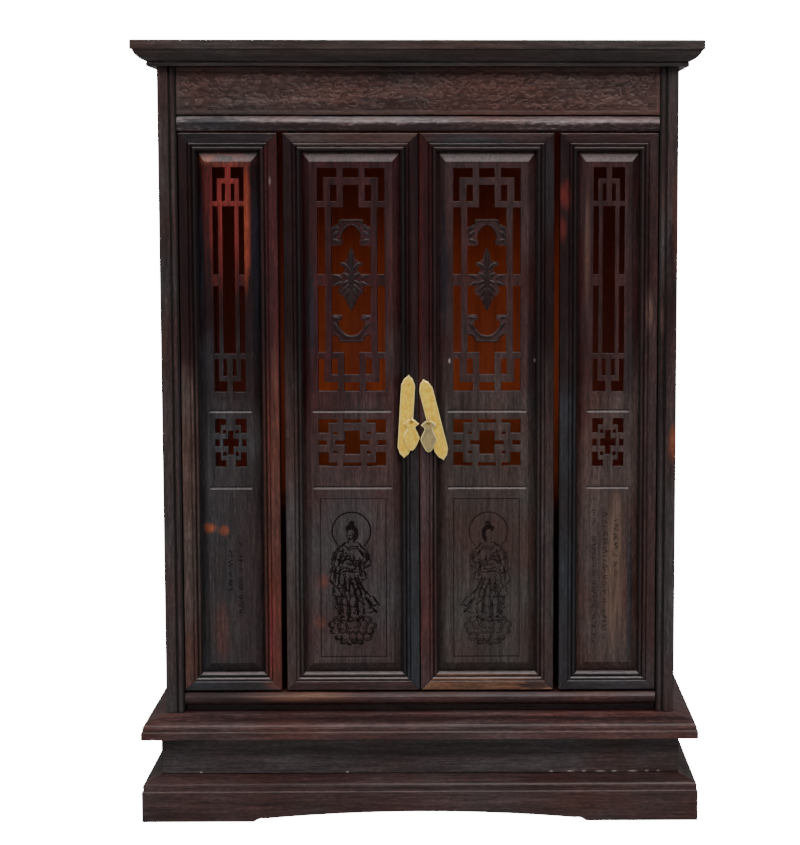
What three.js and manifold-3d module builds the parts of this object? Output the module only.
// Tabletop altar cabinet of dark rosewood: a moulded top board, beaded corner posts, a carved frieze,
// two fixed side leaves and two pivot-hung doors with pierced frets, a moulded base board and a
// stepped plinth. Millimetres, +Z up, front towards -Y, origin at the middle of the underside.
import * as THREE from 'three';
import { mergeVertices } from 'three/addons/utils/BufferGeometryUtils.js';
import Module from 'manifold-3d';

const wasm = await Module();
wasm.setup();

// ---------------------------------------------------------------- driving dimensions
const WIDTH = 438.6;
const DEPTH = 285;
const HEIGHT = 610;
const FRONT = -DEPTH / 2;
const BACK = DEPTH / 2;
const GAP = 0.3;                 // air between pieces that touch

const BODY_SETBACK = 18;         // posts stand this far inside the base board
const BODY_BACK = BACK - 6;      // plain back of the carcass
const POST_OUTER = WIDTH / 2 - BODY_SETBACK;
const POST_WIDTH = 14.3;
const POST_INNER = POST_OUTER - POST_WIDTH;
const POST_FRONT = FRONT + BODY_SETBACK;
const POST_DEPTH = 20;

const PLINTH_TOP = 35;
const PLINTH_BOARD = 26;
const DADO_INSET = 14.2;
const DADO_BOARD = 14;
const BASE_BOTTOM = 65.8;
const BASE_TOP = 83.2;
const FLOOR_TOP = BASE_TOP + 1.2;
const SOFFIT = 590.5;
const POST_FOOT = BASE_TOP + GAP;
const POST_HEAD = SOFFIT - GAP;

const DOOR_BOTTOM = 100.6;
const DOOR_TOP = 539.9;
const LEAF_FACE = POST_FRONT + 3;
const LEAF_THICK = 14;
const LEAF_BACK = LEAF_FACE + LEAF_THICK;
const STILE = 14;
const SEAM = 0.35;               // half of the gap between the two doors
const DOOR_OUTER = 105.5;
const LEAF_INNER = 109.8;
const LEAF_OUTER = POST_INNER - 0.6;
const RAIL_BACK = LEAF_FACE + 16;
const BACK_RAIL = [BODY_BACK - 14, BODY_BACK - 2];

const PIVOT_X = DOOR_OUTER - 8;
const PIVOT_Y = LEAF_FACE + LEAF_THICK / 2;
const PIVOT_RADIUS = 3.4;
const PIVOT_LENGTH = 7;          // beyond the door's edge
const PIVOT_SEAT = 10;           // inside the door's corner
const PIVOT_PLAY = 0.4;

// ---------------------------------------------------------------- finishes
const wood = (color) => new THREE.MeshStandardMaterial({ color, roughness: 0.42, metalness: 0 });
const darkWood = wood(0x322c2d);
const redWood = wood(0x4a3029);
const stainedWood = wood(0x7a2f10);
const brass = new THREE.MeshStandardMaterial({ color: 0xd8b468, roughness: 0.32, metalness: 1 });

// ---------------------------------------------------------------- solids
function toSolid(geometry) {
  const bare = geometry.clone();
  bare.deleteAttribute('normal');
  bare.deleteAttribute('uv');
  const merged = mergeVertices(bare, 1e-5);
  return new wasm.Manifold(new wasm.Mesh({
    numProp: 3,
    vertProperties: new Float32Array(merged.attributes.position.array),
    triVerts: new Uint32Array(merged.index.array),
  }));
}

function toGeometry(solid) {
  const mesh = solid.getMesh();
  const geometry = new THREE.BufferGeometry();
  geometry.setAttribute('position', new THREE.BufferAttribute(new Float32Array(mesh.vertProperties), 3));
  geometry.setIndex(new THREE.BufferAttribute(new Uint32Array(mesh.triVerts), 1));
  geometry.computeVertexNormals();
  return geometry;
}

const union = (geometries) => geometries.map(toSolid).reduce((whole, next) => whole.add(next));

function box(x0, x1, y0, y1, z0, z1) {
  return new THREE.BoxGeometry(x1 - x0, y1 - y0, z1 - z0)
    .translate((x0 + x1) / 2, (y0 + y1) / 2, (z0 + z1) / 2);
}

const X = new THREE.Vector3(1, 0, 0);
const Y = new THREE.Vector3(0, 1, 0);
const Z = new THREE.Vector3(0, 0, 1);

// A (y, z) shape run along X.
function alongX(shape, x0, x1) {
  return new THREE.ExtrudeGeometry(shape, { depth: x1 - x0, bevelEnabled: false, curveSegments: 6 })
    .applyMatrix4(new THREE.Matrix4().makeBasis(Y, Z, X)).translate(x0, 0, 0);
}

// An (x, z) shape run along Y.
function alongY(shape, y0, y1, curveSegments = 6) {
  return new THREE.ExtrudeGeometry(shape, { depth: y1 - y0, bevelEnabled: false, curveSegments })
    .rotateX(Math.PI / 2).translate(0, y1, 0);
}

// An (x, y) shape run along Z.
function alongZ(shape, z0, z1) {
  return new THREE.ExtrudeGeometry(shape, { depth: z1 - z0, bevelEnabled: false, curveSegments: 6 })
    .translate(0, 0, z0);
}

const shapeOf = (points) => new THREE.Shape(points.map(([a, b]) => new THREE.Vector2(a, b)));

// Points on an arc from a to b that bulges to its left by the given sagitta.
function arcPoints([ax, ay], [bx, by], sagitta, steps = 4) {
  const chord = Math.hypot(bx - ax, by - ay);
  const half = 2 * Math.atan(2 * sagitta / chord);
  const radius = chord / 2 / Math.sin(half);
  const nx = -(by - ay) / chord;
  const ny = (bx - ax) / chord;
  const cx = (ax + bx) / 2 + nx * (sagitta - radius);
  const cy = (ay + by) / 2 + ny * (sagitta - radius);
  return Array.from({ length: steps + 1 }, (_, i) => {
    const turn = half * (2 * i / steps - 1);
    const along = radius * Math.sin(turn);
    const up = radius * Math.cos(turn);
    return [cx + (bx - ax) / chord * along + nx * up, cy + (by - ay) / chord * along + ny * up];
  });
}

// A straight moulding along X whose ends are mitred at 45 degrees. The profile is a closed list of
// [inset, height]: inset runs inwards along +Y from the outer edge, height runs along +Z.
function mitredBar(profile, outerLength) {
  const contour = profile.map(([a, b]) => new THREE.Vector2(a, b));
  if (THREE.ShapeUtils.isClockWise(contour)) contour.reverse();
  const count = contour.length;
  const positions = [];
  for (const side of [-1, 1]) {
    for (const point of contour) {
      const reach = outerLength / 2 - point.x - GAP * Math.SQRT1_2;
      positions.push(side * reach, point.x, point.y);
    }
  }
  const indices = [];
  for (const [a, b, c] of THREE.ShapeUtils.triangulateShape(contour, [])) {
    indices.push(a, c, b, a + count, b + count, c + count);
  }
  for (let i = 0; i < count; i += 1) {
    const next = (i + 1) % count;
    indices.push(i, next, next + count, i, next + count, i + count);
  }
  const geometry = new THREE.BufferGeometry();
  geometry.setAttribute('position', new THREE.Float32BufferAttribute(positions, 3));
  geometry.setIndex(indices);
  geometry.computeVertexNormals();
  return geometry;
}

// A closed body through a stack of four-cornered outlines, each [[x, y, z] x 4], counter-clockwise
// when seen from the side that the stack grows towards.
function stack(outlines) {
  const top = (outlines.length - 1) * 4;
  const indices = [0, 2, 1, 0, 3, 2, top, top + 1, top + 2, top, top + 2, top + 3];
  for (let level = 0; level < top; level += 4) {
    for (let i = 0; i < 4; i += 1) {
      const a = level + i;
      const b = level + (i + 1) % 4;
      indices.push(a, b, b + 4, a, b + 4, a + 4);
    }
  }
  const geometry = new THREE.BufferGeometry();
  geometry.setAttribute('position', new THREE.Float32BufferAttribute(outlines.flat(2), 3));
  geometry.setIndex(indices);
  geometry.computeVertexNormals();
  return geometry;
}

// A wide board with [inset, z] levels: moulded on the front and both ends, flat behind.
function mouldedBoard(levels) {
  return stack(levels.map(([inset, z]) => {
    const x = WIDTH / 2 - inset;
    return [[-x, FRONT + inset, z], [x, FRONT + inset, z], [x, BACK, z], [-x, BACK, z]];
  }));
}

// A panel centred on the origin with [insetX, insetZ, rise] levels, raised towards -Y.
function raisedBoard(width, height, levels) {
  return stack(levels.map(([insetX, insetZ, rise]) => {
    const x = width / 2 - insetX;
    const z = height / 2 - insetZ;
    return [[-x, -rise, -z], [x, -rise, -z], [x, -rise, z], [-x, -rise, z]];
  }));
}

const cabinet = new THREE.Group();

function add(parent, name, geometry, material) {
  const mesh = new THREE.Mesh(geometry, material);
  mesh.name = name;
  parent.add(mesh);
  return mesh;
}

// Joins or cuts a placed mesh with geometries given in the cabinet's own frame.
function reshape(mesh, operation, geometries) {
  cabinet.updateMatrixWorld(true);
  const toLocal = mesh.matrixWorld.clone().invert();
  const solids = geometries.map((geometry) => toSolid(geometry.applyMatrix4(toLocal)));
  const result = solids.reduce((whole, next) => whole[operation](next), toSolid(mesh.geometry));
  mesh.geometry = toGeometry(result);
}

// ---------------------------------------------------------------- plinth and dado
const PLINTH_PROFILE = [
  [0, 0], [0, 23.6], [1, 24.4], [1, 27.4],
  ...arcPoints([0.6, 27.6], [3.2, 30.8], 0.7, 3),
  [DADO_INSET, PLINTH_TOP], [PLINTH_BOARD, PLINTH_TOP], [PLINTH_BOARD, 0],
];
const ARCH_HALF = 131;
const ARCH_STEP = 2.6;
const ARCH_RISE = 7.9;
const ARCH_SHOULDER = 9;

// Low arch under the front of the plinth: a small cove at each end and one long shallow curve.
function archCutter() {
  const below = -5;
  const shoulder = ARCH_HALF - ARCH_SHOULDER;
  const outline = [
    [ARCH_HALF, below],
    ...arcPoints([ARCH_HALF, 0], [shoulder, ARCH_STEP], -1.2, 3),
    ...arcPoints([shoulder, ARCH_STEP], [-shoulder, ARCH_STEP], ARCH_STEP - ARCH_RISE, 14).slice(1),
    ...arcPoints([-shoulder, ARCH_STEP], [-ARCH_HALF, 0], -1.2, 3).slice(1),
    [-ARCH_HALF, below],
  ];
  return alongY(shapeOf(outline), FRONT - 5, FRONT + PLINTH_BOARD + 5);
}

function ring(names, profile, sizeX, sizeY, material, parent = cabinet) {
  const [halfX, halfY] = [sizeX / 2, sizeY / 2];
  const sides = [[0, -halfY, sizeX], [halfX, 0, sizeY], [0, halfY, sizeX], [-halfX, 0, sizeY]];
  return sides.map(([x, y, length], i) => {
    const bar = add(parent, names[i], mitredBar(profile, length), material);
    bar.position.set(x, y, 0);
    bar.rotation.z = i * Math.PI / 2;
    return bar;
  });
}

const around = (stem) => ['front', 'right', 'back', 'left'].map((side) => `${stem}_${side}`);
const plinth = ring(around('plinth'), PLINTH_PROFILE, WIDTH, DEPTH, darkWood);
reshape(plinth[0], 'subtract', [archCutter()]);

const DADO_PROFILE = [
  [0, PLINTH_TOP + GAP], [0, BASE_BOTTOM - GAP],
  [DADO_BOARD, BASE_BOTTOM - GAP], [DADO_BOARD, PLINTH_TOP + GAP],
];
ring(around('dado'), DADO_PROFILE, WIDTH - 2 * DADO_INSET, DEPTH - 2 * DADO_INSET, darkWood);

// ---------------------------------------------------------------- base board and top board
const baseBoard = add(cabinet, 'base_board', mouldedBoard([
  [0, BASE_BOTTOM], [0, 71.4], [1.1, 72.2], [1.1, 74],
  ...arcPoints([0.9, 74.2], [4.5, 78.2], 0.9, 3),
  [BODY_SETBACK, BASE_TOP],
]), darkWood);
// The carcass stands in a shallow rebate around the inner floor.
reshape(baseBoard, 'add', [box(GAP - POST_INNER, POST_INNER - GAP,
  RAIL_BACK + GAP, BACK_RAIL[0] - GAP, BASE_TOP - 2, FLOOR_TOP)]);
// From below: a fillet, an ovolo between two quirks, and a flat edge.
add(cabinet, 'top_board', mouldedBoard([
  [11, SOFFIT], [10.8, 593.3], [11.7, 593.5],
  ...arcPoints([11.3, 594.1], [1.7, 602], 1.5, 5),
  [1.6, 602.7], [0, 602.9], [0, HEIGHT - 0.8], [0.8, HEIGHT],
]), darkWood);

// ---------------------------------------------------------------- posts
// Front post in plan: a flat, a cut groove, then a round bead beside the doors.
function frontPostShape(side) {
  const grooveOuter = POST_OUTER - 8.2;
  const grooveInner = grooveOuter - 1.6;
  const outline = [
    [POST_OUTER, POST_FRONT + POST_DEPTH], [POST_OUTER, POST_FRONT + 0.6], [POST_OUTER - 0.6, POST_FRONT],
    [grooveOuter, POST_FRONT], [grooveOuter - 0.3, POST_FRONT + 1.4], [grooveInner, POST_FRONT + 1.4],
    ...arcPoints([grooveInner, POST_FRONT + 0.9], [POST_INNER + 1.2, POST_FRONT + 0.9], 0.8, 4),
    [POST_INNER, POST_FRONT + 1.8], [POST_INNER, POST_FRONT + POST_DEPTH],
  ];
  return shapeOf(outline.map(([x, y]) => [side * x, y]));
}

for (const [side, label] of [[-1, 'left'], [1, 'right']]) {
  add(cabinet, `post_front_${label}`, alongZ(frontPostShape(side), POST_FOOT, POST_HEAD), darkWood);
  const [a, b] = [side * POST_INNER, side * POST_OUTER].sort((p, q) => p - q);
  add(cabinet, `post_back_${label}`,
    box(a, b, BODY_BACK - POST_DEPTH, BODY_BACK, POST_FOOT, POST_HEAD), darkWood);
}

// ---------------------------------------------------------------- rails and frieze of the front
const BAY = POST_INNER - GAP;
const FRIEZE_BOTTOM = 554.1;
const FRIEZE_FACE = POST_FRONT + 2.2;
const FRIEZE_RAIL = [541.3, FRIEZE_BOTTOM - GAP];
const SILL_RAIL = [88.6, 99.2];

// The rail above the doors: a broad sloping round that looks up, over a steeper one below.
function friezeRailShape([z0, z1]) {
  return shapeOf([
    [RAIL_BACK, z1],
    ...arcPoints([POST_FRONT + 5.8, z1], [POST_FRONT + 1, z1 - 4.8], -0.8, 4),
    ...arcPoints([POST_FRONT + 0.7, z1 - 5.6], [POST_FRONT + 3.6, z0], -1, 4),
    [RAIL_BACK, z0],
  ]);
}

// The rail below the doors: a bullnose with a recessed strip that reaches down to the foot.
function sillRailShape([z0, z1], foot) {
  const face = POST_FRONT + 4.6;
  const strip = POST_FRONT + 7;
  return shapeOf([
    [RAIL_BACK, z1], ...arcPoints([face, z1], [face, z0], -4.6, 8),
    [strip, z0 + 0.6], [strip, foot], [RAIL_BACK, foot],
  ]);
}

function pivotCutters(z, direction) {
  const depth = PIVOT_LENGTH + PIVOT_PLAY + 5;
  return [-1, 1].map((side) => new THREE.CylinderGeometry(
    PIVOT_RADIUS + PIVOT_PLAY, PIVOT_RADIUS + PIVOT_PLAY, depth, 24)
    .rotateX(Math.PI / 2).translate(side * PIVOT_X, PIVOT_Y, z + direction * (depth / 2 - 5)));
}

const friezeRail = add(cabinet, 'frieze_rail',
  alongX(friezeRailShape(FRIEZE_RAIL), -BAY, BAY), darkWood);
reshape(friezeRail, 'subtract', pivotCutters(FRIEZE_RAIL[0], 1));
const sillRail = add(cabinet, 'sill_rail',
  alongX(sillRailShape(SILL_RAIL, POST_FOOT), -BAY, BAY), darkWood);
reshape(sillRail, 'subtract', pivotCutters(SILL_RAIL[1], -1));
add(cabinet, 'frieze_panel',
  box(-BAY, BAY, FRIEZE_FACE, RAIL_BACK, FRIEZE_BOTTOM, POST_HEAD), darkWood);

// ---------------------------------------------------------------- sides and back
const SIDE_Y = [POST_FRONT + POST_DEPTH + GAP, BODY_BACK - POST_DEPTH - GAP];
const SIDE_RAIL_HEIGHT = 36;
const SIDE_RAIL_THICK = 11;
const SIDE_LOW = POST_FOOT + SIDE_RAIL_HEIGHT + GAP;
const SIDE_HIGH = POST_HEAD - SIDE_RAIL_HEIGHT - GAP;
const SIDE_INSET = 1.5;
const SIDE_MIDDLE = [(SIDE_Y[0] + SIDE_Y[1]) / 2, (SIDE_LOW + SIDE_HIGH) / 2];

for (const [side, label] of [[-1, 'left'], [1, 'right']]) {
  const outer = POST_OUTER - SIDE_INSET;
  const [a, b] = [side * (outer - SIDE_RAIL_THICK), side * outer].sort((p, q) => p - q);
  add(cabinet, `side_rail_top_${label}`, box(a, b, ...SIDE_Y, SIDE_HIGH + GAP, POST_HEAD), darkWood);
  add(cabinet, `side_rail_bottom_${label}`, box(a, b, ...SIDE_Y, POST_FOOT, SIDE_LOW - GAP), darkWood);
  const panel = add(cabinet, `side_panel_${label}`, raisedBoard(
    SIDE_Y[1] - SIDE_Y[0], SIDE_HIGH - SIDE_LOW, [[0, 0, 0], [0, 0, 4], [14, 14, 7]]), darkWood);
  panel.position.set(side * (outer - SIDE_RAIL_THICK + 2), ...SIDE_MIDDLE);
  panel.rotation.z = side * Math.PI / 2;
}

const BACK_RAIL_HEIGHT = 34;
const BACK_PANEL = [BODY_BACK - 11, BODY_BACK - 4];
const BACK_LOW = POST_FOOT + BACK_RAIL_HEIGHT;
const BACK_HIGH = POST_HEAD - BACK_RAIL_HEIGHT;
const acrossBack = (y, z0, z1) => box(-BAY, BAY, ...y, z0, z1);
add(cabinet, 'back_rail_top', acrossBack(BACK_RAIL, BACK_HIGH, POST_HEAD), darkWood);
add(cabinet, 'back_rail_bottom', acrossBack(BACK_RAIL, POST_FOOT, BACK_LOW), darkWood);
add(cabinet, 'back_panel', acrossBack(BACK_PANEL, BACK_LOW + GAP, BACK_HIGH - GAP), stainedWood);

// ---------------------------------------------------------------- pierced frets
// Each fret is a set of openings in a window, given for one quarter as [x0, x1, z0, z1] and mirrored.
function mirrored(quarter) {
  return quarter.flatMap(([x0, x1, z0, z1]) => [[x0, x1, z0, z1], [-x1, -x0, z0, z1],
    [x0, x1, -z1, -z0], [-x1, -x0, -z1, -z0]]);
}

const DOOR_FRET = mirrored([
  [-6, 6, 79.7, 87], [11, 26.2, 79.7, 87], [21.4, 26.2, 61.3, 79.9], [11, 15.8, 61.3, 74],
  [-6, 6, 55, 74], [-15.2, 15.2, -1, 56.6], [20.3, 26.2, 4.5, 56.6],
]);
const DOOR_SMALL_FRET = mirrored([
  [18.6, 26.4, 7.4, 18.6], [11.4, 18.8, 15.6, 18.6], [20, 26.4, -2, 2], [-7, 7, 15.6, 18.6],
  [-5.9, 5.9, -9.5, 9.5], [5.7, 13.2, -1.8, 1.8], [11.6, 14.8, 6.6, 8.8],
]);
const LEAF_FRET = mirrored([
  [2.2, 12.2, 79, 87.7], [8.5, 12.2, 61.5, 79.2], [2.2, 5, 61.5, 75.1], [-4.8, 4.8, -1, 57.6],
  [8, 12.2, 4.4, 57.6],
]);
const LEAF_SMALL_FRET = mirrored([
  [3.8, 12.3, 13.7, 19.2], [7.8, 12.3, 7.4, 13.9], [3.6, 6.3, 7.2, 10.4], [8.8, 12.3, -2.9, 2.9],
  [-2.1, 2.1, -9.8, 9.8], [1.9, 6.1, -3.2, 3.2],
]);

// Both sides of an outline that is given from top to bottom for x >= 0.
function bothSides(rightHalf) {
  const inner = rightHalf.filter(([x]) => x > 0);
  return [...rightHalf, ...inner.reverse().map(([x, z]) => [-x, z])];
}

// The whole outline whose right half runs between two points on the middle line.
function closedBothSides(rightHalf) {
  return [...rightHalf, ...rightHalf.slice(1, -1).reverse().map(([x, z]) => [-x, z])];
}

// Carved work in the middle of a door fret: a bracket above with two leafy arms, a bracket below
// whose ends curl up, and a palmette between them.
function doorCarving() {
  const reach = 15.6;
  const upper = closedBothSides([
    [0, 47.4], ...arcPoints([8, 47.4], [9.2, 43.6], 0.8, 3), [11.4, 43.2],
    ...arcPoints([11.8, 42.6], [reach, 40], 0.5, 2), [reach, 26.6], [8.6, 26.8],
    ...arcPoints([7.6, 27.2], [6.6, 30.6], 0.6, 2), [7.8, 32.6], [6.6, 36.4], [3.6, 41.4], [0, 42.8],
  ]);
  const lower = closedBothSides([
    [0, -43.6], [4.6, -42.6], [8.6, -38.4], [10.4, -35.4], [9.9, -32], [7.8, -30.8],
    ...arcPoints([7.2, -30], [8.8, -27.2], 0.7, 3), [14.6, -27.2], [reach, -28],
    [reach, -42.4], [10.4, -43.8], [9.4, -47.2], [8.2, -48.4], [0, -48.4],
  ]);
  const palmette = bothSides([
    [0, 26], ...arcPoints([1.6, 22.4], [2.6, 17.4], 0.4, 2),
    ...arcPoints([4.2, 15.2], [8.6, 13.8], -0.6, 2), ...arcPoints([8.8, 11.6], [4.6, 8.6], -0.5, 2),
    [6.6, 5.4], [7.6, 4.4], [7.6, -4.4],
    ...arcPoints([9.2, -6], [8.2, -11.6], 1, 3), ...arcPoints([5.4, -12.6], [3.4, -17], 0.4, 2),
    [2.4, -20.2], [0, -24],
  ]);
  return [upper, lower, palmette];
}

const DOOR_ARMS = [[5, 15.6, -4.5, 4.5], [-15.6, -5, -4.5, 4.5]];

// The solid that is cut out of a panel for one window centred on (x, z).
function windowCutter(openings, carved, bars, x, z) {
  const [y0, y1] = [LEAF_FACE - 5, LEAF_BACK + 5];
  const open = union(openings.map(([x0, x1, z0, z1]) => box(x0, x1, y0, y1, z0, z1)));
  const kept = [...carved.map((outline) => alongY(shapeOf(outline), y0 - 1, y1 + 1)),
    ...bars.map(([x0, x1, z0, z1]) => box(x0, x1, y0 - 1, y1 + 1, z0, z1))];
  const left = kept.reduce((whole, next) => whole.subtract(toSolid(next)), open);
  return toGeometry(left).translate(x, 0, z);
}

// ---------------------------------------------------------------- framed leaves and doors
// Frame moulding, [inset, height]: a flat, two beads and a groove that holds the panel's tongue.
const FRAME_PROFILE = [
  [0, 0], [0, 13.5], [0.5, LEAF_THICK], [6.8, LEAF_THICK], [7.2, 13],
  ...arcPoints([7.4, 12.9], [9.9, 12.9], 0.9, 3), [10.2, 11.6],
  ...arcPoints([10.5, 12], [13.3, 11.8], 0.9, 3),
  [STILE, 10.8], [STILE, 8], [11, 8], [11, 4.8], [STILE, 4.8], [STILE, 0],
];
const FIELD_HEIGHT = 12.6;
const BEVEL_X = 6;
const BEVEL_Z = 7.6;
const PANEL_LEVELS = [
  [0, 0, 5.1], [0, 0, 7.6], [3, 3, 7.7], [3 + BEVEL_X, 3 + BEVEL_Z, FIELD_HEIGHT],
];
const UPPER_WINDOW_Z = 426;
const LOWER_WINDOW_Z = 298.4;
const DIVIDERS_Z = [323.8, 263.2];

function dividerCutter(x, width, z) {
  const face = LEAF_BACK - FIELD_HEIGHT;
  const vee = shapeOf([[face - 0.3, z - 2.1], [face - 0.3, z + 0.9], [face + 1.3, z + 0.2]]);
  return alongX(vee, x - width / 2, x + width / 2);
}

function framedLeaf(stem, x0, x1, stileNames, frets) {
  const width = x1 - x0;
  const height = DOOR_TOP - DOOR_BOTTOM;
  const centreX = (x0 + x1) / 2;
  const centreZ = (DOOR_TOP + DOOR_BOTTOM) / 2;
  const frame = new THREE.Group();
  frame.position.set(centreX, LEAF_BACK, centreZ);
  frame.rotation.x = Math.PI / 2;
  cabinet.add(frame);
  const [right, left] = stileNames;
  const names = ['bottom_rail', right, 'top_rail', left].map((name) => `${stem}_${name}`);
  const members = ring(names, FRAME_PROFILE, width, height, darkWood, frame);
  const tongue = STILE - 11.3;
  const panel = add(cabinet, `${stem}_panel`, raisedBoard(
    width - 2 * STILE + 2 * tongue, height - 2 * STILE + 2 * tongue, PANEL_LEVELS), redWood);
  panel.position.set(centreX, LEAF_BACK, centreZ);
  const fieldWidth = width - 2 * STILE + 2 * tongue - 2 * (3 + BEVEL_X) - 3;
  reshape(panel, 'subtract', [
    windowCutter(frets.upper, frets.carved, frets.bars, centreX, UPPER_WINDOW_Z),
    windowCutter(frets.lower, [], [], centreX, LOWER_WINDOW_Z),
    ...DIVIDERS_Z.map((z) => dividerCutter(centreX, fieldWidth, z))]);
  return members;
}

const leafFrets = { upper: LEAF_FRET, lower: LEAF_SMALL_FRET, carved: [], bars: [] };
const doorFrets = { upper: DOOR_FRET, lower: DOOR_SMALL_FRET, carved: doorCarving(), bars: DOOR_ARMS };

// Round pins set in the corners of a door, which turn in the sockets of the two rails.
function addPivots(side, stem, stile, members) {
  const [bottomRail, , topRail] = members;
  const reach = PIVOT_LENGTH + PIVOT_SEAT;
  const pinAt = (radius, length, z) => new THREE.CylinderGeometry(radius, radius, length, 20)
    .rotateX(Math.PI / 2).translate(side * PIVOT_X, PIVOT_Y, z);
  const ends = [['bottom', bottomRail, DOOR_BOTTOM, -1], ['top', topRail, DOOR_TOP, 1]];
  for (const [label, rail, edge, up] of ends) {
    const middle = edge + up * (PIVOT_LENGTH - PIVOT_SEAT) / 2;
    const seat = () => [pinAt(PIVOT_RADIUS + GAP, reach + 2 * GAP, middle)];
    reshape(rail, 'subtract', seat());
    reshape(stile, 'subtract', seat());
    add(cabinet, `${stem}_${label}_pivot`, pinAt(PIVOT_RADIUS, reach, middle), darkWood);
  }
}

framedLeaf('left_leaf', -LEAF_OUTER, -LEAF_INNER, ['inner_stile', 'outer_stile'], leafFrets);
framedLeaf('right_leaf', LEAF_INNER, LEAF_OUTER, ['outer_stile', 'inner_stile'], leafFrets);
const leftDoor = framedLeaf('left_door', -DOOR_OUTER, -SEAM, ['meeting_stile', 'pivot_stile'], doorFrets);
const rightDoor = framedLeaf('right_door', SEAM, DOOR_OUTER, ['pivot_stile', 'meeting_stile'], doorFrets);
addPivots(-1, 'left_door', leftDoor[3], leftDoor);
addPivots(1, 'right_door', rightDoor[1], rightDoor);

// ---------------------------------------------------------------- brass pulls
const PLATE_THICK = 1.5;
const PLATE_FRONT = LEAF_FACE - GAP - PLATE_THICK;
const LOOP_RADIUS = 2.6;
const WIRE_RADIUS = 0.65;
const LOOP_STANDOFF = 1.6;
const LOOP_Y = PLATE_FRONT - LOOP_STANDOFF;
const LOOP_LEG = Math.sqrt(LOOP_RADIUS ** 2 - LOOP_STANDOFF ** 2);
const LEG_DEPTH = 4;
const EYE_RADIUS = 1.35;
const DROP_THICK = 1.3;
const PLATE_CHAMFER = [0.9, 0.5];
const DROP_CHAMFER = [0.7, 0.4];

// Each pull: middle of its plate, lean of the plate, and the eye that its drop hangs from.
const PULLS = {
  left: { plate: [-10.3, 319.4], lean: 3.5, eye: [-6.4, 315.4] },
  right: { plate: [11, 316.9], lean: -14, eye: [7.2, 314.2] },
};

function legBores([x, z]) {
  const length = 30;
  return [-LOOP_LEG, LOOP_LEG].map((offset) => new THREE.CylinderGeometry(
    WIRE_RADIUS + GAP, WIRE_RADIUS + GAP, length, 10)
    .translate(x, LEAF_FACE + LEG_DEPTH + GAP - length / 2, z + LOOP_RADIUS + offset));
}

// A flat sheet from y0 to y1 whose outer edges are chamfered [across, deep] on both faces.
function chamferedSheet(outline, y0, y1, [across, deep]) {
  return new THREE.ExtrudeGeometry(shapeOf(outline), {
    depth: y1 - y0 - 2 * deep, bevelThickness: deep, bevelSize: across, bevelOffset: -across,
    bevelSegments: 1,
  }).rotateX(Math.PI / 2).translate(0, y1 - deep, 0);
}

// A long plate with ogee points at both ends.
function plate({ plate: [x, z], lean, eye }) {
  const end = [
    [0, 32.9], ...arcPoints([1.5, 31.2], [4.1, 28], 0.5, 2),
    ...arcPoints([4.4, 27], [5.5, 23], 0.4, 2),
  ];
  const outline = bothSides([...end, ...end.map(([a, b]) => [a, -b]).reverse()]);
  const sheet = chamferedSheet(outline, 0, PLATE_THICK, PLATE_CHAMFER)
    .rotateY(THREE.MathUtils.degToRad(lean)).translate(x, PLATE_FRONT, z);
  return legBores(eye).reduce((whole, bore) => whole.subtract(toSolid(bore)), toSolid(sheet));
}

// Wire loop whose two legs pass through the plate into the stile.
function loop([x, z]) {
  const turn = Math.asin(LOOP_STANDOFF / LOOP_RADIUS);
  const steps = 10;
  const arc = Array.from({ length: steps + 1 }, (_, i) => {
    const angle = turn - Math.PI / 2 - (2 * turn + Math.PI) * i / steps;
    const rise = LOOP_RADIUS * (1 + Math.sin(angle));
    return new THREE.Vector3(x, LOOP_Y + LOOP_RADIUS * Math.cos(angle), z + rise);
  });
  const leg = (side) => new THREE.Vector3(x, LEAF_FACE + LEG_DEPTH, z + LOOP_RADIUS + side * LOOP_LEG);
  const extrudePath = new THREE.CatmullRomCurve3([leg(-1), ...arc, leg(1)], false, 'catmullrom', 0.2);
  const section = new THREE.Shape().absarc(0, 0, WIRE_RADIUS, 0, 2 * Math.PI);
  return new THREE.ExtrudeGeometry(section, { extrudePath, steps: 28, curveSegments: 4 });
}

// Flat drop with an eye, a pointed ear on each side of it and a kite-shaped body.
function drop([x, z]) {
  const outline = bothSides([
    [0, 2.6], [2, 2], [3.6, 0.8], [6.2, -1.6], ...arcPoints([4.4, -2.8], [3.4, -5.6], -0.6, 2),
    [4.4, -7.6], ...arcPoints([6.2, -11.4], [6, -14.2], 0.4, 2), [3.8, -19.2],
    ...arcPoints([2, -21.8], [0, -22.8], 0.3, 1),
  ]);
  const half = DROP_THICK / 2;
  const body = chamferedSheet(outline, LOOP_Y - half, LOOP_Y + half, DROP_CHAMFER).translate(x, 0, z);
  const eye = new THREE.CylinderGeometry(EYE_RADIUS, EYE_RADIUS, 6, 16).translate(x, LOOP_Y, z);
  return toSolid(body).subtract(toSolid(eye));
}

for (const [label, stile] of [['left', leftDoor[1]], ['right', rightDoor[3]]]) {
  const pull = PULLS[label];
  add(cabinet, `${label}_plate`, toGeometry(plate(pull)), brass);
  add(cabinet, `${label}_loop`, loop(pull.eye), brass);
  add(cabinet, `${label}_drop`, toGeometry(drop(pull.eye)), brass);
  reshape(stile, 'subtract', legBores(pull.eye));
}

export default cabinet;
